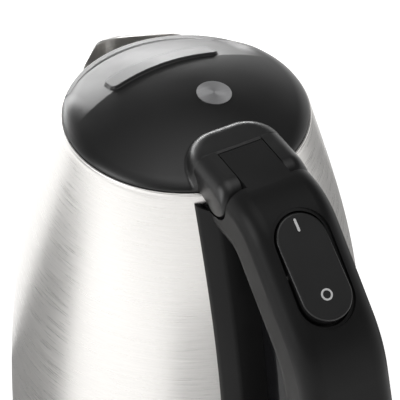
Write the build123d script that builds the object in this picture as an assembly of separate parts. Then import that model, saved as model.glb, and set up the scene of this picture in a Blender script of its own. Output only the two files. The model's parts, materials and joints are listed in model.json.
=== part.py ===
"""Cordless electric kettle: steel jug with a hinged lid and a rocker switch, on a power base.

Frame: millimetres, +Z up, origin on the base's axis at the height of its feet. The handle
is towards +X, the spout towards -X, and the XZ plane is the plane of symmetry.
"""
from build123d import *
from math import cos, radians, sin
import os

# ---------------------------------------------------------------- driving dimensions (mm)
rim_height = 200.0           # top edge of the steel jug above the floor
rim_radius = 52.6            # outside radius of the steel at the rim
belly_radius = 79.5          # outside radius of the steel at its widest
steel_wall = 0.7             # thickness of the steel jug and spout
neck_slope = 0.29            # outward lean of the jug wall at the rim
bead_radius = 0.75           # rolled edge of the steel at the rim

base_height = 18.0           # top of the power base above the floor
base_wall = 2.2              # plastic thickness of the power base
foot_stand = 1.2             # how far the rubber feet stand out of the base
foot_radius = 5.0            # rubber feet of the base
socket_radius = 19.0         # raised connector in the middle of the base
contact_pin_radius = 2.6     # earth pin in the middle of the connector
contact_ring_radii = (8.0, 13.5)
screw_shank_radius = 1.1     # plastic screws of base, skirt and lid
gland_bore_radius = 3.4      # cord gland in the base wall

seat_gap = 0.4               # gap between parts that move apart
running_gap = 0.05           # radial clearance of a pin in its bore
plastic_wall = 2.4           # thickness of skirt, handle and lid mouldings
element_radius = 40.0        # centre line of the sheathed heating element
element_tube = 3.6           # radius of its tube

spine_depth = 8.0            # how far the black strip stands out of the steel
window_half_width = 6.5      # water gauge window

grip_half_width = 20.0       # handle, across
grip_edge_radius = 8.5       # rounding of the handle's long edges
handle_thickness = 28.0      # handle, from its outer face to the finger gap
finger_gap = 42.5            # from the steel at its widest to the handle
facet_angle = -42.4          # slope of the face that carries the switch
facet_length = 57.0          # length of that face's middle line

hinge_rise = 6.0             # lid hinge axis above the rim
ear_radius = 8.8             # rounded ends of the lid's two ears
tongue_half_width = 10.1     # handle tongue between the ears
hinge_pin_radius = 2.0

lid_dome_rise = 13.2         # crown of the lid above the rim
lid_edge_rise = 2.6          # the crown's edge above the rim
lid_plug_depth = 9.0         # the part of the lid that goes into the jug
badge_radius = 7.5

switch_length = 51.0         # opening for the rocker in the handle
switch_width = 26.0
switch_depth = 9.0
bezel_wall = 1.3
rocker_gap = 0.6             # gap between rocker and bezel
rocker_tilt = 6.0            # rocker leans this much each way (degrees)
rocker_pin_radius = 1.5

spout_drop = 11.0            # spout tip below the rim
spout_root_drop = 52.0       # where its keel meets the jug, below the rim
spout_half_angle = 36.5      # plan angle of each side of the spout
spout_tip_radius = 9.0

# ---------------------------------------------------------------- fits and derived places
base_radius = belly_radius - 0.5
socket_height = base_height + 7.0
control_radius = socket_radius + 8.0
steel_bottom = base_height + 16.0
floor_height = steel_bottom + 8.0
skirt_bottom = base_height + seat_gap
deck_height = base_height - 3.0
body_curve_depth = rim_height - steel_bottom + 6.0
foot_mid = steel_bottom + 16.0
handle_foot_top = steel_bottom + 30.0
lid_radius = rim_radius - 0.6
lid_plug_radius = rim_radius - 7.6
lid_bottom = rim_height + seat_gap
hinge_x = rim_radius + 7.4
hinge_z = rim_height + hinge_rise
head_top = hinge_z + ear_radius
tongue_radius = ear_radius + 7.8
ear_half_width = grip_half_width + 0.6
spine_half_width = grip_half_width + 3.0
window_bottom = foot_mid + 24.0
window_top = rim_height - 40.0
facet_start = hinge_x + 25.0
handle_reach = belly_radius + finger_gap + handle_thickness
spout_reach = rim_radius + 21.4
lead_y = 4.0
lead_radius = 1.1
lead_z = steel_bottom - 5.0
BIG = 400.0                  # larger than the whole kettle


# ---------------------------------------------------------------- helpers
def cylinder(radius, z_low, z_high, x=0.0, y=0.0):
    return Pos(x, y, (z_low + z_high) / 2) * Cylinder(radius, z_high - z_low)


def ring(r_out, r_in, z_low, z_high, x=0.0, y=0.0):
    return cylinder(r_out, z_low, z_high, x, y) - cylinder(r_in, z_low - 1, z_high + 1, x, y)


def block(x_low, x_high, y_half, z_low, z_high):
    place = Pos((x_low + x_high) / 2, 0, (z_low + z_high) / 2)
    return place * Box(x_high - x_low, 2 * y_half, z_high - z_low)


def y_cylinder(radius, y_half, x, z):
    return Pos(x, 0, z) * Rot(90, 0, 0) * Cylinder(radius, 2 * y_half)


def revolved(points):
    """Solid of revolution about Z from (radius, height) points."""
    outline = Plane.XZ * make_face(Polyline(*points, close=True))
    return revolve(outline, Axis.Z)


def side_prism(points, y_half, radii=0.0):
    """Solid with an (x, z) outline, as wide as y_half each way."""
    if isinstance(radii, (list, tuple)) or radii > 0:
        outline = FilletPolyline(*points, radius=radii, close=True)
    else:
        outline = Polyline(*points, close=True)
    face = Plane.XZ * make_face(outline)
    return extrude(face, y_half, both=True)


def on_circle(count, radius, start=0.0):
    for i in range(count):
        angle = radians(start + i * 360.0 / count)
        yield radius * cos(angle), radius * sin(angle)


def jug_envelope(grow=0.0, top=None, bottom=0.0):
    """Solid of revolution of the steel's outer face, moved out by grow."""
    top = rim_height if top is None else top
    z_end = rim_height - body_curve_depth
    reach = 0.36 * body_curve_depth
    first = (rim_radius + grow, rim_height)
    second = (rim_radius + grow + neck_slope * reach, rim_height - reach)
    third = (belly_radius + grow, z_end + 0.457 * body_curve_depth)
    last = (belly_radius + grow, z_end)
    wall = Bezier(first, second, third, last)
    rest = Polyline(last, (belly_radius + grow, -5), (0, -5), (0, rim_height), first)
    solid = revolve(Plane.XZ * make_face([wall, rest]), Axis.Z)
    if top > rim_height:
        solid += cylinder(rim_radius + grow, rim_height, top)
    slab = cylinder(BIG / 2, bottom, top)
    return solid & slab


def screws(places, head_radius, head_height, shank_radius, shank_length, z_head, up=True):
    """Pan-head screws with a cross slot; the head's outer face is at z_head."""
    turn = 1 if up else -1
    group = []
    for x, y in places:
        head = cylinder(head_radius, 0, head_height)
        slot = Box(head_radius * 1.3, 0.7, 1.2) + Box(0.7, head_radius * 1.3, 1.2)
        shank = cylinder(shank_radius, head_height, head_height + shank_length)
        screw = head + shank - slot
        spin = Rot(0, 0, 0) if turn > 0 else Rot(180, 0, 0)
        group.append(Pos(x, y, z_head) * spin * screw)
    return Compound(children=group)


parts = {}


def keep(name, shape):
    parts[name] = shape


# ---------------------------------------------------------------- power base
base_screw_places = list(on_circle(4, base_radius - 19.0, 45))
foot_places = list(on_circle(4, base_radius - 13.0, 0))
shell_bottom = foot_stand
plate_top = foot_stand + base_wall
gland_radius = gland_bore_radius + 2.2
gland_z = plate_top + gland_radius - 0.2


def gland_axis(radius, x_low, x_high):
    length = x_high - x_low
    return Pos((x_low + x_high) / 2, 0, gland_z) * Rot(0, 90, 0) * Cylinder(radius, length)


def make_base():
    outer = revolved([(0, shell_bottom), (base_radius - 1, shell_bottom), (base_radius, shell_bottom + 2),
                      (base_radius, base_height - 4), (base_radius - 4, base_height),
                      (base_radius - 9, base_height), (base_radius - 11, deck_height), (0, deck_height)])
    inner_radius = base_radius - base_wall
    inner = revolved([(0, 0), (inner_radius, 0), (inner_radius, base_height - 5),
                      (inner_radius - 3.5, base_height - base_wall - 0.6),
                      (base_radius - 9, base_height - base_wall),
                      (base_radius - 12, deck_height - base_wall), (0, deck_height - base_wall)])
    cover = outer - inner
    cover -= cylinder(socket_radius + 1.0, 0, base_height + 5)
    for x, y in base_screw_places:
        cover += ring(4.0, screw_shank_radius, plate_top, deck_height - base_wall + 0.2, x, y)
    cover -= gland_axis(gland_radius, base_radius - 8, base_radius + 5)
    keep("base_top_cover", cover)

    plate = cylinder(inner_radius - 0.3, foot_stand, plate_top)
    for x, y in base_screw_places:
        plate -= cylinder(1.5, 0, plate_top + 1, x, y)
        plate -= cylinder(3.2, 0, foot_stand + 1.3, x, y)
    for x, y in foot_places:
        plate -= cylinder(foot_radius, 0, foot_stand + 0.8, x, y)
    plate += ring(socket_radius + 0.6, socket_radius - 1.4, plate_top, plate_top + 3)
    wrap_radius = base_radius - 26.0
    cord_wrap = ring(wrap_radius, wrap_radius - 1.8, plate_top, plate_top + 6)
    plate += cord_wrap - block(wrap_radius - 4, BIG / 4, 6, 0, BIG)
    keep("base_bottom_plate", plate)

    socket = cylinder(socket_radius, plate_top + 3, socket_height)
    socket = fillet(socket.edges().group_by(Axis.Z)[-1], 2.0)
    socket += ring(socket_radius + 3.5, socket_radius - 0.5, plate_top + 3, deck_height - base_wall)
    socket -= cylinder(contact_pin_radius + 0.8, plate_top + 5, socket_height + 1)
    for radius in contact_ring_radii:
        socket -= ring(radius + 1.3, radius - 1.3, socket_height - 9, socket_height + 1)
    keep("base_socket", socket)

    contacts = [ring(r + 1.2, r + 0.7, socket_height - 9, socket_height - 2) for r in contact_ring_radii]
    sleeve_radius = contact_pin_radius + 0.8
    contacts.append(ring(sleeve_radius, sleeve_radius - 0.4, plate_top + 5, socket_height - 5))
    keep("base_contact_rings", Compound(children=contacts))

    terminal = Pos(40, 0, plate_top + 4) * Box(16, 12, 8)
    terminal = chamfer(terminal.edges().group_by(Axis.Z)[-1], 1.0)
    for y in (-3.2, 3.2):
        terminal -= Pos(40, y, plate_top + 4) * Rot(0, 90, 0) * Cylinder(1.4, 30)
    keep("base_terminal_block", terminal)

    gland = gland_axis(gland_radius, base_radius - 7, base_radius + 2.5)
    gland += gland_axis(gland_radius + 1.4, base_radius + 0.3, base_radius + 2.5)
    gland &= block(0, BIG / 2, 40, plate_top + 0.1, BIG)
    gland -= gland_axis(gland_bore_radius, 0, BIG / 2)
    gland &= block(0, base_radius + 2.5, 40, 0, BIG)
    keep("cord_gland", gland)

    foot = cylinder(foot_radius, 0, foot_stand + 0.8)
    foot = fillet(foot.edges().group_by(Axis.Z)[0], 0.5)
    feet = [Pos(x, y, 0) * foot for x, y in foot_places]
    keep("base_feet", Compound(children=feet))
    keep("base_screws", screws(base_screw_places, 2.8, 1.3, screw_shank_radius, 6.5, foot_stand))


make_base()


# ---------------------------------------------------------------- steel jug
def spout_section(keel_x, z, tip, back=-30.0):
    """Pointed outline with a round nose at keel_x, flaring towards the jug."""
    half = radians(spout_half_angle)
    centre_x = keel_x + tip
    touch = (centre_x - tip * sin(half), tip * cos(half))
    run = (back - touch[0]) * sin(half) / cos(half)
    flare = (back, touch[1] + run)
    nose = ThreePointArc((touch[0], touch[1]), (keel_x, 0), (touch[0], -touch[1]))
    sides = Polyline((touch[0], -touch[1]), (flare[0], -flare[1]), flare, touch)
    return Pos(0, 0, z) * make_face([nose, sides])


def spout_cone(grow=0.0):
    """Tapering channel of the spout, cut off by the sloping plane of its lip."""
    root_z = rim_height - spout_root_drop
    tip_z = rim_height - spout_drop
    root_x = -(jug_radius_at(root_z) - 1.0)
    lean = (-spout_reach - root_x) / (tip_z - root_z)
    top_z = rim_height + 4.0
    low_z = root_z - 6.0
    top = spout_section(-spout_reach + lean * (top_z - tip_z) - grow, top_z, spout_tip_radius + grow)
    low = spout_section(root_x + lean * (low_z - root_z) - grow, low_z, 2.5 + grow)
    return loft([low, top], ruled=True)


def jug_radius_at(z):
    """Outside radius of the steel at height z, from the same curve as jug_envelope."""
    reach = 0.36 * body_curve_depth
    heights = (0.0, reach, (1 - 0.457) * body_curve_depth, body_curve_depth)
    radii = (rim_radius, rim_radius + neck_slope * reach, belly_radius, belly_radius)
    low, high = 0.0, 1.0
    for _ in range(40):
        t = (low + high) / 2
        mix = ((1 - t) ** 3, 3 * t * (1 - t) ** 2, 3 * t * t * (1 - t), t ** 3)
        depth = sum(m * h for m, h in zip(mix, heights))
        if depth < rim_height - z:
            low = t
        else:
            high = t
    return sum(m * r for m, r in zip(mix, radii))


def lip_keep():
    """Everything below the sloping plane of the spout's lip."""
    slope = spout_drop / (spout_reach - rim_radius)
    lip_z = rim_height - 0.2
    back = 12 - rim_radius
    return side_prism([(back, lip_z + 12 * slope), (back, 0), (-BIG / 2, 0),
                       (-BIG / 2, lip_z - slope * (BIG / 2 - rim_radius))], 60)


filter_half_width = 17.0
filter_bottom = rim_height - 36.0
filter_top = rim_height - 7.0
level_port_heights = [window_bottom + 6 + i * (window_top - window_bottom - 12) / 4 for i in range(5)]
steam_port_z = rim_height - 14.0
steam_duct_radius = 3.6


def make_jug():
    shell = jug_envelope(0, bottom=steel_bottom) - jug_envelope(-steel_wall, top=rim_height + 1)
    bead = Pos(rim_radius - 0.55, rim_height - bead_radius) * Circle(bead_radius)
    shell += revolve(Plane.XZ * bead, Axis.Z)
    mouth = spout_cone(-steel_wall) & block(-BIG / 4, -20, 40, rim_height - 44, rim_height + 10)
    inner_keep = cylinder(rim_radius - 6, 0, BIG)
    shell -= (mouth & block(-BIG / 4, -20, filter_half_width + 2, 0, rim_height - 5)) - inner_keep
    for z in level_port_heights:
        shell -= Pos(jug_radius_at(z), 0, z) * Rot(0, 90, 0) * Cylinder(1.6, 6)
    steam_hole = Rot(0, 90, 0) * Cylinder(steam_duct_radius, 12)
    shell -= Pos(jug_radius_at(steam_port_z), 0, steam_port_z) * steam_hole
    keep("body_shell", shell)

    spout = spout_cone(0) - spout_cone(-steel_wall)
    spout = spout & lip_keep()
    spout -= jug_envelope(0, top=rim_height + 20)
    spout = max(spout.solids(), key=lambda s: s.volume)
    keep("spout", spout)

    seat = jug_envelope(-steel_wall - 0.3, top=rim_height - 2)
    frame_band = seat - jug_envelope(-steel_wall - 2.3, top=rim_height)
    frame = frame_band & block(-BIG / 4, 0, filter_half_width, filter_bottom, filter_top)
    hole = block(-BIG / 4, 0, filter_half_width - 2.5, filter_bottom + 2.5, filter_top - 2.5)
    bars = block(-BIG / 4, 0, 0.8, filter_bottom, filter_top)
    frame -= hole - bars
    keep("spout_filter_frame", frame)
    mesh_band = jug_envelope(-steel_wall - 1.0) - jug_envelope(-steel_wall - 1.4)
    mesh = mesh_band & (hole - block(-BIG / 4, 0, 0.8, 0, BIG))
    keep("spout_filter_mesh", mesh)


make_jug()


# ---------------------------------------------------------------- floor, element and control
control_top = floor_height - 10.5
control_screw_places = list(on_circle(3, control_radius - 3.5, 60))
skirt_screw_places = list(on_circle(3, belly_radius - 16.0, 60))


def make_bottom():
    plate = jug_envelope(-steel_wall, top=floor_height) & cylinder(BIG / 2, floor_height - 0.8, floor_height)
    keep("floor_plate", plate)
    spreader_low = floor_height - 0.8 - 2.5
    keep("heat_spreader", cylinder(element_radius + 10, spreader_low, floor_height - 0.8))

    tube_z = spreader_low - element_tube
    path_radius = element_radius
    ring_solid = Pos(0, 0, tube_z) * Torus(path_radius, element_tube)
    gap = Pos(-path_radius, 0, tube_z) * Box(20, 22, 20)
    element = ring_solid - gap
    for side in (-1, 1):
        x_end = -(path_radius ** 2 - 11.0 ** 2) ** 0.5
        lead = Pos(x_end + 3, side * 12.2, tube_z) * Rot(0, 90, 0) * Cylinder(1.4, 16)
        element += lead
    keep("heating_element", element)
    tabs = [Pos(-path_radius + 14.4, side * 12.2, tube_z) * Box(7, 4, 0.8) - element for side in (-1, 1)]
    keep("element_tabs", Compound(children=tabs))

    skirt_low = skirt_bottom
    skirt = revolved([(belly_radius - 3.0, skirt_low), (belly_radius - 1.6, skirt_low),
                      (belly_radius, steel_bottom - 6),
                      (belly_radius, steel_bottom), (belly_radius - 2.8, steel_bottom),
                      (belly_radius - 2.8, floor_height - 4), (belly_radius - 5.2, floor_height - 4),
                      (belly_radius - 5.2, skirt_low)])
    skirt += ring(belly_radius - 0.9, belly_radius - 4, steel_bottom - 0.5, floor_height - 4) & \
        jug_envelope(-steel_wall)
    keep("jug_skirt", skirt)

    cover_top = skirt_low + 2.0
    cover = cylinder(belly_radius - 5.4, skirt_low, cover_top)
    cover -= cylinder(control_radius - 4.2, 0, cover_top + 1)
    for x, y in skirt_screw_places:
        cover -= cylinder(1.5, 0, cover_top + 1, x, y)
        cover -= cylinder(3.0, 0, skirt_low + 1.2, x, y)
    for x, y in skirt_screw_places:
        cover += ring(4.0, screw_shank_radius, cover_top, floor_height - 5.5, x, y)
    keep("jug_bottom_cover", cover)
    keep("skirt_screws", screws(skirt_screw_places, 2.8, 1.2, screw_shank_radius, 7.0, skirt_low))

    pocket_top = socket_height + 1.5
    control = cylinder(control_radius, cover_top, control_top)
    control -= cylinder(control_radius - 4.5, 0, pocket_top)
    control -= cylinder(contact_pin_radius, 0, pocket_top + 3)
    for radius in contact_ring_radii:
        control -= ring(radius + 0.3, radius - 0.3, 0, pocket_top + 2)
    for x, y in control_screw_places:
        control -= cylinder(1.1, control_top - 3, control_top + 1, x, y)
    disc_places = [(9.0, 12.0), (9.0, -12.0)]
    for x, y in disc_places:
        control -= cylinder(6.2, control_top - 1.2, control_top + 1, x, y)
    keep("control_unit", control)
    discs = [revolved([(0, control_top - 1.2), (5.6, control_top - 0.9), (5.6, control_top - 0.5),
                       (0, control_top - 0.8)]) for _ in disc_places]
    keep("dry_boil_discs", Compound(children=[Pos(x, y, 0) * d for d, (x, y) in zip(discs, disc_places)]))
    bracket = cylinder(control_radius - 1, control_top, control_top + 1.0)
    for x, y in disc_places:
        bracket -= cylinder(6.2, 0, BIG / 2, x, y)
    bracket -= block(-BIG / 4, -control_radius + 8, 20, 0, BIG)
    keep("control_bracket", bracket)
    control_screw = cylinder(2.2, 0, 1.2) - Pos(0, 0, 1.2) * Box(3.2, 0.6, 1.0)
    heads = [Pos(x, y, control_top + 1.0) * control_screw for x, y in control_screw_places]
    keep("control_screws", Compound(children=heads))
    pin = cylinder(contact_pin_radius, plate_top + 8, pocket_top + 3)
    pin = fillet(pin.edges().group_by(Axis.Z)[0], 1.0)
    keep("contact_pin", pin)
    blades = [ring(r + 0.3, r - 0.3, socket_height - 6, pocket_top + 2) for r in contact_ring_radii]
    keep("contact_blades", Compound(children=blades))


make_bottom()


# ---------------------------------------------------------------- spine and water gauge
spine_bottom = steel_bottom - 7.0
spine_top = rim_height - 4.0
window_skin = 2.2


def band(outer_grow, inner_grow, y_half, z_low, z_high):
    """Curved strip that follows the steel on the handle side."""
    strip = jug_envelope(outer_grow, top=rim_height + 1) - jug_envelope(inner_grow, top=rim_height + 1)
    return strip & block(20, BIG / 4, y_half, z_low, z_high)


def make_spine():
    spine = band(spine_depth / 2, running_gap, spine_half_width, spine_bottom, spine_top)
    spine += band(spine_depth * 0.8, spine_depth / 2, spine_half_width - 2, spine_bottom, spine_top)
    spine += band(spine_depth, spine_depth * 0.8, spine_half_width - 4, spine_bottom, spine_top)
    spine -= band(spine_depth - 1.6, 1.2, 6.5, 0, foot_mid + 4)
    spine -= block(belly_radius, BIG / 4, 6.5, foot_mid - 4, foot_mid + 4)
    spine -= band(spine_depth - 3.0, 0, window_half_width + 4.5, window_bottom - 6, spine_top - 6)
    spine -= band(spine_depth + 5, 0, window_half_width, window_bottom, window_top)
    spine -= x_tube(steam_duct_radius + 0.1, 20, 100)
    keep("handle_spine", spine)

    flange = band(spine_depth - 3.0, 1.4, window_half_width + 4.0, window_bottom - 5, window_top + 5)
    lens = band(spine_depth - 0.6, spine_depth - 3.0, window_half_width - 0.1,
                window_bottom + 0.1, window_top - 0.1)
    well = band(spine_depth - 3.0 - window_skin, 1.4, window_half_width, window_bottom, window_top)
    keep("gauge_window", flange + lens - well)
    gasket = band(1.4, 0, window_half_width + 4.0, window_bottom - 5, window_top + 5)
    keep("gauge_seal", gasket - band(3, 0, window_half_width, window_bottom, window_top))


def x_tube(radius, x_low, x_high):
    return Pos((x_low + x_high) / 2, 0, steam_port_z) * Rot(0, 90, 0) * Cylinder(radius, x_high - x_low)


make_spine()


# ---------------------------------------------------------------- handle
half_thick = handle_thickness / 2
path_x = handle_reach - half_thick
facet_direction = (cos(radians(facet_angle)), sin(radians(facet_angle)))
head_mid = head_top - half_thick
knee = (facet_start - 5.5, head_mid)
shoulder = (knee[0] + facet_length * facet_direction[0], knee[1] + facet_length * facet_direction[1])
handle_points = [(hinge_x - tongue_radius - 5, head_mid), knee, shoulder, (path_x, shoulder[1] - 46),
                 (path_x, foot_mid + 17), (path_x - 16, foot_mid + 1), (belly_radius - 17.5, foot_mid)]
handle_radii = [20, 36, 70, 18, 18]


def handle_path():
    return FilletPolyline(*handle_points, radius=handle_radii)


def handle_blank(inset=0.0):
    """Closed D-shaped handle: one rounded rectangle carried along the path."""
    path = Plane.XZ * handle_path()
    spot = Plane(origin=path @ 0, x_dir=(0, 1, 0), z_dir=path % 0)
    width = 2 * (grip_half_width - inset)
    outline = RectangleRounded(width, handle_thickness - 2 * inset, grip_edge_radius - inset)
    return sweep(spot * outline, path=path)


facet_mid = 0.40            # middle of the switch, as a share of the facet
switch_x = knee[0] + facet_mid * facet_length * facet_direction[0] - half_thick * facet_direction[1]
switch_z = knee[1] + facet_mid * facet_length * facet_direction[1] + half_thick * facet_direction[0]
switch_plane = Plane(origin=(switch_x, 0, switch_z), x_dir=(facet_direction[0], 0, facet_direction[1]),
                     z_dir=(-facet_direction[1], 0, facet_direction[0]))


def stadium(length, width, low, high):
    """Rounded slot shape standing on the switch face, between two depths."""
    face = SlotOverall(length, width)
    solid = extrude(Pos(0, 0, low) * face, high - low)
    return switch_plane * solid


def on_switch(shape):
    return switch_plane * shape


loop_cover_half = grip_half_width - grip_edge_radius + 1.0
loop_low = foot_mid + half_thick + 8.0
loop_high = rim_height - 42.0


def loop_strip(depth, y_half):
    """Wall of the handle on the finger side, down to depth."""
    inner_side = Polyline(handle_points[-1], (30, foot_mid), (30, head_mid), handle_points[0])
    closed = make_face([handle_path(), inner_side])
    face = Plane.XZ * offset(closed, amount=-(half_thick - depth))
    return extrude(face, y_half, both=True) & block(70, BIG / 2, 60, loop_low, loop_high)


def make_handle():
    blank = handle_blank()
    core = handle_blank(plastic_wall) & block(hinge_x + ear_radius + 6, BIG / 2, 60, 0, BIG)
    core -= block(0, belly_radius + spine_depth + 4, 60, 0, handle_foot_top + 4)
    shell = blank - core
    behind = block(0, BIG / 4, spine_half_width + 1, spine_bottom, spine_top)
    shell -= jug_envelope(spine_depth, top=spine_top) & behind
    shell -= jug_envelope(0.0)
    shell -= jug_envelope(1.0, top=lid_bottom + 0.2, bottom=spine_top)
    lid_side = block(0, hinge_x, 60, spine_top + 0.2, BIG)
    lid_side += block(hinge_x - 1, hinge_x + ear_radius + seat_gap, 60, hinge_z, BIG)
    lid_side += y_cylinder(ear_radius + seat_gap, 60, hinge_x, hinge_z)
    shell -= lid_side - block(0, BIG / 4, tongue_half_width, 0, BIG)
    nose = y_cylinder(tongue_radius, 30, hinge_x, hinge_z)
    shell -= block(0, hinge_x, 30, lid_bottom - 3, BIG) - nose
    shell -= cylinder(rim_radius + 2.6, spine_top, lid_bottom + 0.6)
    shell -= y_cylinder(hinge_pin_radius, 60, hinge_x, hinge_z)
    shell -= x_tube(steam_duct_radius, 50, hinge_x + 30)
    strip = loop_strip(plastic_wall, loop_cover_half) & blank
    shell -= loop_strip(plastic_wall + 0.01, loop_cover_half)
    shell -= stadium(switch_length, switch_width, -switch_depth, 12)
    shell = max(shell.solids(), key=lambda s: s.volume)
    keep("handle_shell", shell)
    keep("handle_inner_cover", max(strip.solids(), key=lambda s: s.volume))


make_handle()


# ---------------------------------------------------------------- switch, steam sensing and wiring
bezel_length = switch_length - 2 * bezel_wall
bezel_width = switch_width - 2 * bezel_wall
rocker_length = bezel_length - 2 * rocker_gap - 1.0
rocker_width = bezel_width - 2 * rocker_gap
rocker_pin_depth = 4.6
steam_body_low = -switch_depth - 11.5


def make_switch():
    bezel = stadium(switch_length - 0.02, switch_width - 0.02, -switch_depth, -1.8)
    bezel -= stadium(bezel_length, bezel_width, -switch_depth + 1.4, 5)
    pin_line = on_switch(Pos(0, 0, -rocker_pin_depth) * Rot(90, 0, 0) * Cylinder(rocker_pin_radius, 40))
    bore_radius = rocker_pin_radius + running_gap
    pin_bore = on_switch(Pos(0, 0, -rocker_pin_depth) * Rot(90, 0, 0) * Cylinder(bore_radius, 40))
    bezel -= pin_line
    plunger_hole = on_switch(Pos(-8, 0, -switch_depth) * Box(4.4, 4.4, 6))
    bezel -= plunger_hole
    keep("switch_bezel", bezel)
    rod = Cylinder(rocker_pin_radius, switch_width - 0.6)
    keep("rocker_pin", on_switch(Pos(0, 0, -rocker_pin_depth) * Rot(90, 0, 0) * rod))

    rocker_face = 1.2
    rocker_root = -6.2
    outline = Pos(0, 0, rocker_root) * SlotOverall(rocker_length, rocker_width)
    slab = extrude(outline, rocker_face - rocker_root)
    slab = fillet(slab.edges().group_by(Axis.Z)[-1], 0.9)
    relief = Pos(0, 0, rocker_root) * Box(rocker_length + 5, rocker_width + 1, 2.4)
    relief -= Pos(0, 0, rocker_root) * Box(9, 30, 9)
    lean = Rot(0, -rocker_tilt, 0)
    pivot = Pos(0, 0, -rocker_pin_depth)
    rocker = on_switch(pivot * lean * pivot.inverse() * (slab - relief)) - pin_bore
    mark_depth = 0.5
    ring_face = Circle(2.5) - Circle(1.7)
    mark_base = rocker_face - mark_depth
    loop = extrude(Pos(rocker_length * 0.264, 0, mark_base) * ring_face, mark_depth)
    bar = extrude(Pos(-rocker_length * 0.39, 0, mark_base) * SlotOverall(5.6, 1.1), mark_depth)
    marks = {}
    for name, mark in (("rocker_on_mark", bar), ("rocker_off_mark", loop)):
        marks[name] = on_switch(pivot * lean * pivot.inverse() * mark)
        rocker -= marks[name]
    keep("rocker_button", rocker)
    for name, mark in marks.items():
        keep(name, mark)

    steam_mid = (steam_body_low - switch_depth) / 2 - 0.3
    steam_length = 24.0
    steam_x = 4.0
    steam_body = Box(steam_length, 18, -switch_depth - steam_body_low - 0.6)
    keep("steam_switch", on_switch(Pos(steam_x, 0, steam_mid) * steam_body))
    disc_x = steam_x - steam_length / 2 - 0.6
    disc = Rot(0, 90, 0) * Cylinder(4.6, 0.8)
    keep("steam_disc", on_switch(Pos(disc_x, 0, steam_mid) * disc))


make_switch()


def make_steam_duct():
    duct = x_tube(steam_duct_radius, jug_radius_at(steam_port_z) - steel_wall, hinge_x + 22)
    duct -= x_tube(steam_duct_radius - 1.0, 0, BIG / 4)
    keep("steam_duct", duct)
    seal_x = jug_radius_at(steam_port_z) + 0.3
    seal = x_tube(steam_duct_radius + 2.2, seal_x, seal_x + 2.0) - x_tube(steam_duct_radius, 0, BIG / 4)
    return seal


steam_seal = make_steam_duct()
parts["handle_spine"] -= x_tube(steam_duct_radius + 2.3, 0, jug_radius_at(steam_port_z) + 2.4)
keep("steam_duct_seal", steam_seal - jug_envelope(0))


def make_leads():
    """Two insulated wires from the steam switch, down the handle and spine, to the control."""
    group = []
    for y in (-lead_y, lead_y):
        start = switch_plane.from_local_coords(Vector(12, y, steam_body_low + 1))
        knots = [(start.X, start.Z), (path_x - 3, shoulder[1] - 38), (path_x - 3, foot_mid + 20),
                 (path_x - 18, foot_mid), (belly_radius + 3.8, foot_mid), (belly_radius + 3.8, lead_z),
                 (control_radius + 0.1, lead_z)]
        path = Pos(0, y, 0) * (Plane.XZ * FilletPolyline(*knots, radius=[10, 10, 10, 6, 6]))
        start_plane = Plane(origin=path @ 0, z_dir=path % 0)
        group.append(sweep(start_plane * Circle(lead_radius), path=path) - parts["steam_switch"])
        passage = sweep(start_plane * Circle(lead_radius + 0.3), path=path)
        for name in ("handle_shell", "handle_spine", "jug_skirt"):
            parts[name] -= passage
    keep("switch_leads", Compound(children=group))


make_leads()


# ---------------------------------------------------------------- lid
crown = lid_dome_rise - lid_edge_rise
dome_radius = (lid_radius ** 2 + crown ** 2) / (2 * crown)
dome_centre_z = rim_height + lid_dome_rise - dome_radius
lid_skin = 2.4
ear_gap = 0.4
mound_front = hinge_x - 31.0
tab_half_width = 25.0
tab_front = -29.0
tab_back = -19.0
lid_screw_places = list(on_circle(3, lid_plug_radius - 12.0, 60))
badge_centre = (8.0, 9.0)


def dome_height(radius, shrink=0.0):
    """Height of the lid's crowned top at a distance from the axis."""
    sphere = dome_radius - shrink
    return dome_centre_z + (sphere ** 2 - radius ** 2) ** 0.5


def dome(shrink, rounded=0.0):
    """Solid under the crowned top of the lid, taken in by shrink."""
    edge = lid_radius - shrink
    crown = ThreePointArc((0, dome_height(0, shrink)), (edge / 2, dome_height(edge / 2, shrink)),
                          (edge, dome_height(edge, shrink)))
    sides = Polyline((edge, dome_height(edge, shrink)), (edge, lid_bottom), (0, lid_bottom),
                     (0, dome_height(0, shrink)))
    face = make_face([crown, sides])
    if rounded:
        corner = [v for v in face.vertices() if v.X > edge - 0.1 and v.Y > lid_bottom + 0.1]
        face = fillet(corner, rounded)
    return revolve(Plane.XZ * face, Axis.Z)


def slot_space(extra=0.0):
    """Room for the handle tongue as the lid turns."""
    half = tongue_half_width + ear_gap + extra
    return y_cylinder(tongue_radius + 0.5 + extra, half, hinge_x, hinge_z) + \
        block(hinge_x, BIG / 4, half, 0, BIG)


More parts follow.
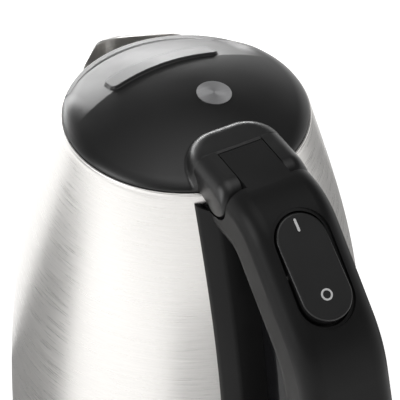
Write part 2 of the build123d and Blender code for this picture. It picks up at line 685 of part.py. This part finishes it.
def make_lid():
    outer = dome(0, rounded=1.6)
    hollow = dome(lid_skin) & cylinder(lid_radius - lid_skin, lid_bottom - 1, BIG)
    plug_low = rim_height - lid_plug_depth + 1.6
    plug_wall = ring(lid_plug_radius, lid_plug_radius - 2.0, plug_low, rim_height + 6)
    cover = outer - hollow + (plug_wall & dome(0.5)) + (plug_wall & cylinder(BIG / 4, 0, lid_bottom + 0.1))
    mound = side_prism([(mound_front, rim_height + 8), (mound_front + 9, head_top - 0.6),
                        (hinge_x, head_top), (hinge_x, hinge_z),
                        (hinge_x - ear_radius + 2, lid_bottom), (mound_front, lid_bottom)], ear_half_width)
    mound = fillet(mound.edges().group_by(Axis.X)[0].filter_by(Axis.Z), 9.0)
    mound += y_cylinder(ear_radius, ear_half_width, hinge_x, hinge_z)
    pocket = block(mound_front + 3, hinge_x - tongue_radius - 3.5, ear_half_width - 2.4, 0, rim_height + 9.0)
    cover += mound - cylinder(rim_radius + 0.4, 0, lid_bottom)
    cover -= pocket & cylinder(BIG / 4, lid_bottom, BIG)
    cover -= slot_space()
    cover -= y_cylinder(hinge_pin_radius + running_gap, 60, hinge_x, hinge_z)
    for x, y in lid_screw_places:
        boss = ring(3.6, screw_shank_radius, plug_low, rim_height + 9, x, y)
        cover += boss & (dome(0.5) + cylinder(BIG / 4, 0, lid_bottom + 0.1))
    badge_seat = cylinder(badge_radius, rim_height + lid_dome_rise - 1.2, BIG, *badge_centre)
    cover -= badge_seat & block(-BIG / 4, BIG / 4, 60, rim_height + lid_dome_rise - 1.2, BIG)
    tab_seat = tab_outline(0.25)
    cover -= tab_seat - dome(1.4)
    cover = max(cover.solids(), key=lambda s: s.volume)
    keep("lid_cover", cover)
    badge = cylinder(badge_radius - 0.1, rim_height + lid_dome_rise - 1.2, BIG, *badge_centre) & dome(-0.35)
    badge &= cylinder(BIG / 4, rim_height + lid_dome_rise - 1.2, rim_height + lid_dome_rise + 5)
    keep("lid_badge", badge)
    tab = (tab_outline(0) - dome(1.4)) & dome(-1.4)
    keep("lid_thumb_tab", max(tab.solids(), key=lambda s: s.volume))

    cap_low = rim_height - lid_plug_depth
    cap = cylinder(lid_plug_radius + 1.0, cap_low, cap_low + 1.6)
    cap -= slot_space(0.6)
    for x, y in lid_screw_places:
        cap -= cylinder(1.5, 0, cap_low + 5, x, y)
    keep("lid_inner_cap", cap)
    seal = ring(lid_plug_radius + 5.0, lid_plug_radius, cap_low + 1.6, cap_low + 4.6) - slot_space(0.8)
    keep("lid_seal", max(seal.solids(), key=lambda s: s.volume))
    keep("lid_screws", screws(lid_screw_places, 2.6, 1.2, screw_shank_radius, 6.5, cap_low - 1.2))
    pin = y_cylinder(hinge_pin_radius, ear_half_width - 1.2, hinge_x, hinge_z)
    keep("hinge_pin", pin)


def tab_outline(grow):
    """Finger ledge across the front of the lid, between two arcs."""
    sag = 3.0
    half = tab_half_width
    front = ThreePointArc((tab_front + sag, -half), (tab_front, 0), (tab_front + sag, half))
    back = ThreePointArc((tab_back + sag, half), (tab_back, 0), (tab_back + sag, -half))
    sides = [Line(front @ 1, back @ 0), Line(back @ 1, front @ 0)]
    face = make_face([front, sides[0], back, sides[1]])
    face = fillet(face.vertices().sort_by(Axis.X)[:2], 3.5)
    if grow:
        face = offset(face, amount=grow)
    return extrude(Pos(0, 0, rim_height) * face, 30)


make_lid()


# ---------------------------------------------------------------- handle fasteners
def make_handle_screws():
    """Two screws through the steel into the handle's foot, one into its head."""
    group = []
    parts_to_drill = ("handle_shell", "handle_spine", "body_shell")
    for z, y in ((foot_mid, 12.0), (foot_mid, -12.0)):
        x_head = jug_radius_at(z) - steel_wall
        for name in parts_to_drill:
            if name in parts:
                bore = 1.3 if name != "body_shell" else 1.7
                drill = Pos(x_head + 10, y, z) * Rot(0, 90, 0) * Cylinder(bore, 34)
                parts[name] = parts[name] - drill
        shank = Pos(x_head + 5.5, y, z) * Rot(0, 90, 0) * Cylinder(1.3, 15.0)
        head = Pos(x_head - 2.6, y, z) * Rot(0, 90, 0) * Cylinder(3.0, 1.2)
        group.append(shank + head)
    keep("handle_screws", Compound(children=group))


make_handle_screws()

# ---------------------------------------------------------------- one file per piece
os.makedirs("parts", exist_ok=True)
for name, shape in parts.items():
    export_step(shape, f"parts/{name}.step")
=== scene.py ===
"""Looks of the cordless kettle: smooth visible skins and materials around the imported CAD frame."""
import bpy
import bmesh
import json
from math import cos, pi, radians, sin, sqrt
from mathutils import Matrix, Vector


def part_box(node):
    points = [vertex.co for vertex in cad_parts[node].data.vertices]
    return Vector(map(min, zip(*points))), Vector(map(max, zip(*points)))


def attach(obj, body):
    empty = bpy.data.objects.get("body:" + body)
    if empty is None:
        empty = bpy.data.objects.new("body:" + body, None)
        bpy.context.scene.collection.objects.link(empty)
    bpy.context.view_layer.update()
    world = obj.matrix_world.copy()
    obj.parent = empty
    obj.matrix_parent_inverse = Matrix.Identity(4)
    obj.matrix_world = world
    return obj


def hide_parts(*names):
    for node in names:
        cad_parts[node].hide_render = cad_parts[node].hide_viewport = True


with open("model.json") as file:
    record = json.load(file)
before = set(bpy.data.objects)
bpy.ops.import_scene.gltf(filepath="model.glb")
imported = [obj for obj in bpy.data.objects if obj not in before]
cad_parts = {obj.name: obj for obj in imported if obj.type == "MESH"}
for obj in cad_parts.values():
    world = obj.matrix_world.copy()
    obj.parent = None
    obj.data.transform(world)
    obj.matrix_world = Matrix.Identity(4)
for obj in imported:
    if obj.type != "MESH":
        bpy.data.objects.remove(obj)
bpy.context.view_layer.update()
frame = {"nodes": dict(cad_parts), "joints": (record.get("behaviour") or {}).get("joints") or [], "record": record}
MM = 0.001

# ---------------------------------------------------------------- places read from the frame
shell_low, shell_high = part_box("body_shell")
lid_low, lid_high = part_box("lid_cover")
rim_z = shell_high[2] / MM
steel_low = shell_low[2] / MM
joints = {joint["name"]: joint for joint in frame["joints"]}


# ---------------------------------------------------------------- camera
def make_camera():
    azimuth, elevation = radians(61.0), radians(41.06)
    distance = 1.300
    side_step = 5.84 * MM
    aim_below_rim = 48.86
    target = Vector((side_step * cos(azimuth), side_step * sin(azimuth), (rim_z - aim_below_rim) * MM))
    back = Vector((sin(azimuth) * cos(elevation), -cos(azimuth) * cos(elevation), sin(elevation)))
    data = bpy.data.cameras.new("camera")
    data.lens = 271.8
    data.sensor_width = 36.0
    data.clip_start = 0.05
    camera = bpy.data.objects.new("camera", data)
    camera.location = target + back * distance
    camera.rotation_euler = (-back).to_track_quat("-Z", "Y").to_euler()
    bpy.context.scene.collection.objects.link(camera)
    bpy.context.scene.camera = camera


make_camera()


# ---------------------------------------------------------------- materials
def new_material(name, color, roughness, metallic=0.0):
    material = bpy.data.materials.new(name)
    material.use_nodes = True
    shader = material.node_tree.nodes["Principled BSDF"]
    shader.inputs["Base Color"].default_value = (*color, 1.0)
    shader.inputs["Roughness"].default_value = roughness
    shader.inputs["Metallic"].default_value = metallic
    return material, material.node_tree, shader


def add_node(tree, kind, **inputs):
    node = tree.nodes.new(kind)
    for key, value in inputs.items():
        node.inputs[key.replace("_", " ")].default_value = value
    return node


def scaled_noise(tree, scale, stretch=(1, 1, 1), detail=3.0, roughness=0.55):
    coords = tree.nodes.new("ShaderNodeTexCoord")
    mapping = tree.nodes.new("ShaderNodeMapping")
    mapping.inputs["Scale"].default_value = stretch
    noise = add_node(tree, "ShaderNodeTexNoise", Scale=scale, Detail=detail, Roughness=roughness)
    tree.links.new(coords.outputs["Object"], mapping.inputs["Vector"])
    tree.links.new(mapping.outputs["Vector"], noise.inputs["Vector"])
    return noise


def ramp_between(tree, source, low, high, start=0.3, end=0.7):
    ramp = tree.nodes.new("ShaderNodeValToRGB")
    ramp.color_ramp.elements[0].position = start
    ramp.color_ramp.elements[1].position = end
    ramp.color_ramp.elements[0].color = (*low, 1) if isinstance(low, tuple) else (low, low, low, 1)
    ramp.color_ramp.elements[1].color = (*high, 1) if isinstance(high, tuple) else (high, high, high, 1)
    tree.links.new(source.outputs["Fac"], ramp.inputs["Fac"])
    return ramp


def add_bump(tree, shader, source, strength, distance):
    bump = tree.nodes.new("ShaderNodeBump")
    bump.inputs["Strength"].default_value = strength
    bump.inputs["Distance"].default_value = distance
    tree.links.new(source.outputs["Fac"], bump.inputs["Height"])
    tree.links.new(bump.outputs["Normal"], shader.inputs["Normal"])


def plastic(name, color, roughness, gloss=0.5, grain=1500.0, depth=0.05, spread=0.06):
    """Moulded plastic: fine spark-eroded grain and slightly uneven gloss."""
    material, tree, shader = new_material(name, color, roughness)
    shader.inputs["Specular IOR Level"].default_value = gloss
    patches = scaled_noise(tree, 28.0, detail=4.0)
    ramp = ramp_between(tree, patches, roughness - spread, roughness + spread)
    tree.links.new(ramp.outputs["Color"], shader.inputs["Roughness"])
    tone = scaled_noise(tree, 60.0, detail=2.0)
    low = tuple(c * 0.92 for c in color)
    high = tuple(min(1.0, c * 1.08) for c in color)
    tones = ramp_between(tree, tone, low, high)
    tree.links.new(tones.outputs["Color"], shader.inputs["Base Color"])
    add_bump(tree, shader, scaled_noise(tree, grain, detail=2.0), depth, 0.0002)
    return material


def brushed(name, color, roughness, stretch=(1, 1, 60), scale=90.0, depth=0.10):
    """Steel with fine lines around the vertical axis."""
    material, tree, shader = new_material(name, color, roughness, 1.0)
    shader.inputs["Anisotropic"].default_value = 0.6
    lines = scaled_noise(tree, scale, stretch, detail=6.0, roughness=0.7)
    ramp = ramp_between(tree, lines, roughness - 0.07, roughness + 0.09)
    tree.links.new(ramp.outputs["Color"], shader.inputs["Roughness"])
    low = tuple(c * 0.90 for c in color)
    high = tuple(min(1.0, c * 1.04) for c in color)
    tones = ramp_between(tree, lines, low, high)
    tree.links.new(tones.outputs["Color"], shader.inputs["Base Color"])
    add_bump(tree, shader, lines, depth, 0.0001)
    return material


def metal(name, color, roughness):
    """Plain metal with small blotches in its gloss."""
    material, tree, shader = new_material(name, color, roughness, 1.0)
    ramp = ramp_between(tree, scaled_noise(tree, 220.0), roughness - 0.06, roughness + 0.1)
    tree.links.new(ramp.outputs["Color"], shader.inputs["Roughness"])
    add_bump(tree, shader, scaled_noise(tree, 900.0), 0.04, 0.0001)
    return material


def smoked_glass(name):
    material, tree, shader = new_material(name, (0.02, 0.02, 0.022), 0.06)
    shader.inputs["Transmission Weight"].default_value = 0.35
    ramp = ramp_between(tree, scaled_noise(tree, 40.0), 0.04, 0.12)
    tree.links.new(ramp.outputs["Color"], shader.inputs["Roughness"])
    return material


MATERIALS = {
    "steel_body": brushed("brushed_steel", (0.80, 0.785, 0.765), 0.30, (1, 1, 34), 45.0, 0.06),
    "steel_bright": brushed("drawn_steel", (0.86, 0.85, 0.835), 0.34, (1, 1, 8), 60.0, 0.03),
    "lid_plastic": plastic("lid_black", (0.006, 0.006, 0.0061), 0.33),
    "handle_plastic": plastic("handle_black", (0.009, 0.009, 0.0091), 0.40, 0.15),
    "spine_plastic": plastic("spine_black", (0.005, 0.005, 0.0051), 0.40, 0.14),
    "switch_plastic": plastic("switch_black", (0.008, 0.008, 0.0082), 0.34),
    "base_plastic": plastic("base_black", (0.010, 0.010, 0.0102), 0.42),
    "inner_plastic": plastic("natural_plastic", (0.62, 0.61, 0.57), 0.5),
    "mark_print": plastic("mark_grey", (0.60, 0.60, 0.60), 0.5),
    "badge_silver": brushed("badge_silver", (0.62, 0.62, 0.63), 0.34, (60, 1, 1), 90.0, 0.05),
    "gauge_glass": smoked_glass("smoked_gauge"),
    "silicone": plastic("grey_silicone", (0.10, 0.10, 0.10), 0.55),
    "rubber_black": plastic("black_rubber", (0.015, 0.015, 0.015), 0.7),
    "wire_insulation": plastic("red_insulation", (0.35, 0.03, 0.02), 0.45),
    "copper_alloy": metal("brass_contacts", (0.76, 0.60, 0.32), 0.28),
    "element_metal": metal("element_sheath", (0.45, 0.44, 0.43), 0.45),
    "aluminium_plate": metal("mill_aluminium", (0.78, 0.78, 0.79), 0.38),
    "zinc_steel": metal("zinc_screws", (0.62, 0.62, 0.60), 0.33),
}


def dress_cad_nodes():
    slots = {part["node"]: part["material_slot"] for part in frame["record"]["subparts"]}
    for name, node in frame["nodes"].items():
        for holder in node.material_slots:
            holder.material = MATERIALS[slots[name]]


dress_cad_nodes()


# ---------------------------------------------------------------- mesh helpers
def add_piece(name, verts, faces, slot, body, replaced=()):
    """Makes a mesh from points in millimetres, dresses it and lets it ride on its body."""
    mesh = bpy.data.meshes.new(name)
    mesh.from_pydata([(x * MM, y * MM, z * MM) for x, y, z in verts], [], faces)
    mesh.validate()
    build = bmesh.new()
    build.from_mesh(mesh)
    bmesh.ops.remove_doubles(build, verts=build.verts, dist=1e-6)
    bmesh.ops.recalc_face_normals(build, faces=build.faces)
    build.to_mesh(mesh)
    build.free()
    mesh.materials.append(MATERIALS[slot])
    mesh.shade_smooth()
    piece = bpy.data.objects.new(name, mesh)
    bpy.context.scene.collection.objects.link(piece)
    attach(piece, body)
    if replaced:
        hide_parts(*replaced)
    return piece


def grid_faces(rows, columns, closed=False):
    """Quads of a rows by columns grid of points; closed joins the last column to the first."""
    faces = []
    last = columns if closed else columns - 1
    for i in range(rows - 1):
        for j in range(last):
            k = (j + 1) % columns
            faces.append((i * columns + j, i * columns + k, (i + 1) * columns + k, (i + 1) * columns + j))
    return faces


def apply_modifiers(piece):
    bpy.context.view_layer.update()
    graph = bpy.context.evaluated_depsgraph_get()
    mesh = bpy.data.meshes.new_from_object(piece.evaluated_get(graph))
    piece.modifiers.clear()
    old = piece.data
    piece.data = mesh
    bpy.data.meshes.remove(old)


def soft_step(value, low, high):
    share = min(1.0, max(0.0, (value - low) / (high - low)))
    return share * share * (3 - 2 * share)


def smooth_max(a, b, width):
    share = min(1.0, max(0.0, 0.5 + 0.5 * (a - b) / width))
    return b + (a - b) * share + width * share * (1 - share)


# ---------------------------------------------------------------- jug
lid_radius = (lid_high[1] - lid_low[1]) / 2 / MM
rim_radius = lid_radius + 0.6
belly_radius = (shell_high[1] - shell_low[1]) / 2 / MM
steel_wall = 0.7
neck_slope = 0.29
curve_depth = rim_z - steel_low + 6.0


def jug_radius(z):
    """Outside radius of the steel at height z: one cubic curve from rim to belly."""
    heights = (0.0, 0.36 * curve_depth, 0.543 * curve_depth, curve_depth)
    radii = (rim_radius, rim_radius + neck_slope * 0.36 * curve_depth, belly_radius, belly_radius)
    low, high = 0.0, 1.0
    for _ in range(30):
        t = (low + high) / 2
        mix = ((1 - t) ** 3, 3 * t * (1 - t) ** 2, 3 * t * t * (1 - t), t ** 3)
        if sum(m * h for m, h in zip(mix, heights)) < rim_z - z:
            low = t
        else:
            high = t
    return sum(m * r for m, r in zip(mix, radii))


def revolved_points(profile, turns):
    angles = [2 * pi * j / turns for j in range(turns)]
    return [(r * cos(angle), r * sin(angle), z) for r, z in profile for angle in angles]


def make_jug():
    turns, steps = 256, 110
    rolled = 0.75
    neck_z = rim_z - 1.6
    heights = [steel_low + (neck_z - steel_low) * i / steps for i in range(steps + 1)]
    outer = [(jug_radius(z), z) for z in heights]
    bead_angles = [pi * (0.62 - 1.24 * i / 10) for i in range(11)]
    bead = [(rim_radius - 0.5 + rolled * sin(a), rim_z - rolled + rolled * cos(a)) for a in bead_angles]
    inner = [(r - steel_wall, z) for r, z in reversed(outer)]
    profile = outer + bead + inner
    verts = revolved_points(profile, turns)
    rows = len(profile)
    faces = grid_faces(rows, turns, closed=True)
    last = (rows - 1) * turns
    faces += [(last + j, last + (j + 1) % turns, (j + 1) % turns, j) for j in range(turns)]
    jug = add_piece("jug_steel", verts, faces, "steel_body", "jug", ["body_shell"])
    mouth_low, mouth_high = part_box("spout_filter_frame")
    low, high = mouth_low[2] / MM, mouth_high[2] / MM
    half = 16
    outline = [(0, low - 4), (half, low + 10), (half, high), (-half, high), (-half, low + 10)]
    cutter_verts = [(x, y, z) for x in (-90, -30) for y, z in outline]
    cutter_faces = [(4, 3, 2, 1, 0), (5, 6, 7, 8, 9)]
    cutter_faces += [(i, (i + 1) % 5, (i + 1) % 5 + 5, i + 5) for i in range(5)]
    cut_with(jug, cutter_verts, cutter_faces)


def cut_with(piece, verts, faces):
    """Cuts a closed shape, in millimetres, out of a piece."""
    mesh = bpy.data.meshes.new("cutter")
    mesh.from_pydata([(x * MM, y * MM, z * MM) for x, y, z in verts], [], faces)
    build = bmesh.new()
    build.from_mesh(mesh)
    bmesh.ops.recalc_face_normals(build, faces=build.faces)
    build.to_mesh(mesh)
    build.free()
    cutter = bpy.data.objects.new("cutter", mesh)
    bpy.context.scene.collection.objects.link(cutter)
    modifier = piece.modifiers.new("cut", "BOOLEAN")
    modifier.operation = "DIFFERENCE"
    modifier.solver = "EXACT"
    modifier.object = cutter
    apply_modifiers(piece)
    bpy.data.objects.remove(cutter)
    bpy.data.meshes.remove(mesh)


# ---------------------------------------------------------------- spout
def make_spout():
    """Pressed steel lip: ruled from a rounded V at the top to a curve on the jug wall."""
    spout_low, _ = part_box("spout")
    reach = -spout_low[0] / MM
    drop = 11.0
    half_angle = radians(36.5)
    tip = 9.0
    keel_drop = 50.0
    columns, rows = 81, 28
    flank = 27.0
    below_rim = 0.4
    root_half_angle = radians(29.0)
    root_sunk = 0.2
    bow_rise = 1.2
    arc = tip * (pi / 2 - half_angle)
    verts = []
    for layer in (0, 1):
        inset = layer * steel_wall
        for i in range(rows):
            v = i / (rows - 1)
            for j in range(columns):
                u = (j / (columns - 1)) * 2 - 1
                travel = abs(u) * (arc + flank)
                side = 1 if u >= 0 else -1
                if travel < arc:
                    turn = travel / tip
                    x = -reach + tip - (tip - inset) * cos(turn)
                    y = (tip - inset) * sin(turn)
                else:
                    turn = pi / 2 - half_angle
                    x = -reach + tip - (tip - inset) * cos(turn) + (travel - arc) * cos(half_angle)
                    y = (tip - inset) * sin(turn) + (travel - arc) * sin(half_angle)
                z = rim_z - below_rim - drop * max(0.0, -x - rim_radius + 2) / (reach - rim_radius + 2)
                root_z = rim_z - keel_drop * (1 - abs(u) ** 1.35) - 1.0 * abs(u)
                root_angle = root_half_angle * abs(u) ** 0.9
                root_r = jug_radius(root_z) - root_sunk - inset
                root = (-root_r * cos(root_angle), root_r * sin(root_angle), root_z)
                bow = bow_rise * sin(pi * v) * (1 - abs(u))
                verts.append((x + (root[0] - x) * v + bow,
                              side * (y + (root[1] - y) * v),
                              z + (root[2] - z) * v))
    outer = grid_faces(rows, columns)
    size = rows * columns
    faces = outer + [tuple(k + size for k in reversed(face)) for face in outer]
    for j in range(columns - 1):
        faces.append((j, j + 1, j + 1 + size, j + size))
        k = (rows - 1) * columns + j
        faces.append((k, k + size, k + 1 + size, k + 1))
    for i in range(rows - 1):
        for k in (i * columns, i * columns + columns - 1):
            faces.append((k, k + columns, k + columns + size, k + size))
    add_piece("spout_steel", verts, faces, "steel_bright", "jug", ["spout"])


# ---------------------------------------------------------------- lid
hinge = [value / MM for value in joints["lid_hinge"]["pos_m"]]
ear_radius = 8.8
mound_rise = hinge[2] + ear_radius
ear_half = 20.6
tongue_half = 10.5
dome_rise = 13.2
edge_rise = 2.6
dome_curve = (lid_radius ** 2 + (dome_rise - edge_rise) ** 2) / (2 * (dome_rise - edge_rise))
crease_curve = 125.0
crease_centre = crease_curve - 19.0
lid_floor = 0.5
mound_nose = 27.5
edge_round = 6.5
facet_fall = 0.19
facet_length = 70.0
tab_rise = 1.3
mound_blend = 2.2
mound_slope = 3.2
ear_front = 44.0


def mound_inside(x, y):
    """Distance inside the mound's U-shaped outline; negative outside it."""
    nose = 15.0
    centre_x = mound_nose + nose
    flat = ear_half - nose
    across = max(0.0, abs(y) - flat)
    if x < centre_x:
        along = centre_x - x
        return nose - sqrt(across ** 2 + along ** 2)
    return nose - across


def lid_height(x, y):
    """Height of the lid's top above the rim."""
    radius = min(lid_radius, sqrt(x * x + y * y))
    dome = dome_rise - dome_curve + sqrt(dome_curve ** 2 - radius ** 2)
    ahead = sqrt((x - crease_centre) ** 2 + y * y) - crease_curve
    fade = 1 - soft_step(abs(y), 36.0, 47.0)
    if ahead > 0:
        dome -= fade * facet_fall * ahead * (1 - ahead / facet_length)
    tab = tab_inside(ahead, y)
    dome += tab_rise * soft_step(tab, -0.35, 0.35)
    inside = mound_inside(x, y)
    sunk = 0.6          # keeps the skin under the ears, which start here
    top = mound_rise - rim_z - sunk * soft_step(x, 43.9, 44.6)
    if inside > edge_round:
        mound = top
    elif inside > 0:
        mound = top - edge_round + sqrt(edge_round ** 2 - (edge_round - inside) ** 2)
    else:
        mound = top - edge_round + mound_slope * inside
    height = smooth_max(dome, mound, mound_blend)
    shoulder = 46.5
    turn = min(1.0, max(0.0, (radius - shoulder) / (lid_radius - shoulder)))
    if inside < 1.0:
        height = lid_floor + (height - lid_floor) * sqrt(max(0.0, 1 - turn ** 2.6))
    return height


def tab_inside(ahead, y):
    """Distance inside the finger ledge, which lies between the crease and an arc in front of it."""
    half_long, half_wide, corner = 25.5, 4.9, 3.0
    across = abs(y) - (half_long - corner)
    along = abs(ahead - half_wide - 0.2) - (half_wide - corner)
    outside = sqrt(max(0, across) ** 2 + max(0, along) ** 2) + min(0, max(across, along))
    return corner - outside


def make_lid():
    turns, rings = 480, 132
    circle = [(cos(2 * pi * j / turns), sin(2 * pi * j / turns)) for j in range(turns)]
    verts = [(0, 0, rim_z + lid_height(0, 0))]
    for i in range(1, rings + 1):
        share = i / rings
        radius = lid_radius * (share if share < 0.9 else 0.9 + 0.1 * sin((share - 0.9) * 5 * pi))
        for c, s in circle:
            verts.append((radius * c, radius * s, rim_z + lid_height(radius * c, radius * s)))
    inner_radius = lid_radius - 2.4
    inner_rings = 12
    verts += [(inner_radius * c, inner_radius * s, rim_z + lid_floor) for c, s in circle]
    for i in range(inner_rings):
        radius = inner_radius * (1 - i / inner_rings)
        height = dome_rise - dome_curve + sqrt(dome_curve ** 2 - radius ** 2) - 3.4
        verts += [(radius * c, radius * s, rim_z + max(lid_floor, height)) for c, s in circle]
    faces = [(0, 1 + j, 1 + (j + 1) % turns) for j in range(turns)]
    starts = [1 + i * turns for i in range(rings + 1 + inner_rings)]
    for here, there in zip(starts, starts[1:]):
        for j in range(turns):
            k = (j + 1) % turns
            faces.append((here + j, there + j, there + k, here + k))
    faces.append(tuple(starts[-1] + j for j in range(turns)))
    lid = add_piece("lid_skin", verts, faces, "lid_plastic", "lid", ["lid_cover", "lid_thumb_tab"])
    reach, behind = 17.1, 30
    angles = [radians(-60 + 6 * i) for i in range(26)]
    side = [(hinge[0] - reach * cos(a), hinge[2] + reach * sin(a)) for a in angles]
    side = [(hinge[0] + behind, side[0][1])] + side + [(hinge[0] + behind, hinge[2] + behind)]
    count = len(side)
    verts = [(x, y, z) for y in (-tongue_half, tongue_half) for x, z in side]
    faces = [tuple(range(count)), tuple(range(2 * count - 1, count - 1, -1))]
    faces += [(i, (i + 1) % count, (i + 1) % count + count, i + count) for i in range(count)]
    cut_with(lid, verts, faces)


def make_ears():
    """The lid's two hinge ears: round-ended cheeks either side of the handle's tongue."""
    for side, name in ((-1, "lid_ear_right"), (1, "lid_ear_left")):
        outline = [(ear_front, mound_rise, 0.0, 1.0, 1.0), (hinge[0], mound_rise, 0.0, 1.0, 1.0)]
        for i in range(1, 37):
            angle = radians(6.0 * i)
            fade = 1.0 - 0.75 * soft_step(angle, radians(20), radians(110))
            outline.append((hinge[0] + ear_radius * sin(angle), hinge[2] + ear_radius * cos(angle),
                            sin(angle), cos(angle), fade))
        outline.append((ear_front, rim_z + 0.6, 0.0, -1.0, 0.25))
        count = len(outline)
        layers = [(tongue_half, 0.0)]
        layers += [(ear_half - edge_round + edge_round * sin(a), edge_round - edge_round * cos(a))
                   for a in (radians(7.5 * i) for i in range(0, 13))]
        verts = []
        for y, inset in layers:
            for x, z, nx, nz, fade in outline:
                verts.append((x - nx * inset * fade, side * y, z - nz * inset * fade))
        faces = grid_faces(len(layers), count, closed=True)
        faces.append(tuple(range(count)))
        faces.append(tuple((len(layers) - 1) * count + j for j in reversed(range(count))))
        ear = add_piece(name, verts, faces, "lid_plastic", "lid")
        sharpen(ear, 40)


def sharpen(piece, degrees):
    piece.data.set_sharp_from_angle(angle=radians(degrees))


# ---------------------------------------------------------------- spine
def make_spine():
    """Black strip up the jug with sloping flanks and an opening for the gauge."""
    spine_low, spine_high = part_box("handle_spine")
    window_low, window_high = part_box("gauge_window")
    half = spine_high[1] / MM
    depth = 8.0
    slot_half = 6.5
    slot_low, slot_high = window_low[2] / MM + 5, window_high[2] / MM - 5
    profile = [(half, 0.0), (half, 2.2), (half - 0.5, 3.0), (half - 4.4, depth - 0.9),
               (half - 5.2, depth - 0.2), (half - 6.2, depth), (slot_half, depth)]
    low, high = spine_low[2] / MM, spine_high[2] / MM
    marks = sorted([low + (high - low) * i / 60 for i in range(61)] + [slot_low, slot_high])
    line = [(-y, d) for y, d in profile] + [(y, d) for y, d in reversed(profile)]
    columns = len(line)
    verts, faces = [], []
    for z in marks:
        radius = jug_radius(max(z, steel_low))
        for y, d in line:
            reach = radius + d
            verts.append((sqrt(reach * reach - y * y), y, z))
    for i in range(len(marks) - 1):
        for j in range(columns - 1):
            inside = abs(line[j][0]) <= slot_half + 0.01 and abs(line[j + 1][0]) <= slot_half + 0.01
            if inside and slot_low - 0.01 <= marks[i] and marks[i + 1] <= slot_high + 0.01:
                continue
            k = i * columns + j
            faces.append((k, k + 1, k + 1 + columns, k + columns))
    spine = add_piece("handle_spine_skin", verts, faces, "spine_plastic", "jug", ["handle_spine"])
    thick = spine.modifiers.new("thick", "SOLIDIFY")
    thick.thickness = 1.4 * MM
    thick.offset = -1.0
    apply_modifiers(spine)
    sharpen(spine, 35)


make_jug()
make_spout()
make_lid()
make_ears()
make_spine()


# ---------------------------------------------------------------- floor and light
def make_floor():
    mesh = bpy.data.meshes.new("floor")
    build = bmesh.new()
    bmesh.ops.create_grid(build, x_segments=2, y_segments=2, size=6.0)
    build.to_mesh(mesh)
    build.free()
    floor = bpy.data.objects.new("floor", mesh)
    bpy.context.scene.collection.objects.link(floor)
    material, _, shader = new_material("floor_white", (0.85, 0.85, 0.85), 0.8)
    shader.inputs["Emission Color"].default_value = (1.0, 0.995, 0.985, 1)
    shader.inputs["Emission Strength"].default_value = 0.62
    mesh.materials.append(material)


def around(degrees, distance, height):
    """A place at an angle from +X towards +Y, in metres."""
    return (distance * cos(radians(degrees)), distance * sin(radians(degrees)), height)


def area_light(name, place, aim, size, power, size_y=None):
    data = bpy.data.lights.new(name, "AREA")
    data.shape = "RECTANGLE"
    data.size = size
    data.size_y = size_y or size
    data.energy = power
    light = bpy.data.objects.new(name, data)
    light.location = place
    light.rotation_euler = (Vector(aim) - Vector(place)).to_track_quat("-Z", "Y").to_euler()
    bpy.context.scene.collection.objects.link(light)


def floor_card(name, degrees, near_half, far_half, tone):
    """A card on the floor that only the kettle's reflections see, pointing away from the base."""
    near, far = 0.09, 0.6
    mesh = bpy.data.meshes.new(name)
    corners = [(near, -near_half, 0), (far, -far_half, 0), (far, far_half, 0), (near, near_half, 0)]
    mesh.from_pydata(corners, [], [(0, 1, 2, 3)])
    card = bpy.data.objects.new(name, mesh)
    card.location = (0, 0, 0.0006)
    card.rotation_euler = (0, 0, radians(degrees))
    bpy.context.scene.collection.objects.link(card)
    material, _, _ = new_material(name, (tone, tone, tone), 0.9)
    mesh.materials.append(material)
    card.visible_camera = False
    card.visible_shadow = False
    card.visible_diffuse = False


def make_world():
    """White studio: bright at the horizon, darker above it, with a soft glow overhead."""
    world = bpy.data.worlds.new("studio")
    bpy.context.scene.world = world
    world.use_nodes = True
    tree = world.node_tree
    coords = tree.nodes.new("ShaderNodeTexCoord")
    parts = tree.nodes.new("ShaderNodeSeparateXYZ")
    ramp = tree.nodes.new("ShaderNodeValToRGB")
    marks = ((0.0, 1.0), (0.22, 0.95), (0.45, 0.14), (0.75, 0.14), (1.0, 0.85))
    elements = ramp.color_ramp.elements
    for place, _ in marks[1:-1]:
        elements.new(place)
    for element, (place, level) in zip(elements, marks):
        element.position = place
        element.color = (level, level, level, 1)
    light_path = tree.nodes.new("ShaderNodeLightPath")
    mix = tree.nodes.new("ShaderNodeMixRGB")
    mix.inputs["Color2"].default_value = (1, 1, 1, 1)
    tree.links.new(coords.outputs["Generated"], parts.inputs["Vector"])
    tree.links.new(parts.outputs["Z"], ramp.inputs["Fac"])
    tree.links.new(ramp.outputs["Color"], mix.inputs["Color1"])
    tree.links.new(light_path.outputs["Is Camera Ray"], mix.inputs["Fac"])
    tree.links.new(mix.outputs["Color"], tree.nodes["Background"].inputs["Color"])
    tree.nodes["Background"].inputs["Strength"].default_value = 1.0


make_floor()
make_world()
bpy.context.scene.view_settings.view_transform = "Standard"
camera_side = -29.0          # direction from the kettle to the camera, in degrees
area_light("key", around(camera_side - 62, 1.0, 0.62), (0, 0, 0.14), 0.55, 4)
area_light("top", (0.15, 0.05, 1.6), (0, 0, 0.1), 1.0, 3)
area_light("back_strip", around(camera_side + 205, 1.3, 0.33), (0, 0, 0.2), 1.5, 11, 0.22)
floor_card("left_card", camera_side - 90, 0.058, 0.17, 0.33)
floor_card("front_card", camera_side + 8, 0.035, 0.16, 0.85)
floor_card("right_card", camera_side + 125, 0.06, 0.22, 0.4)
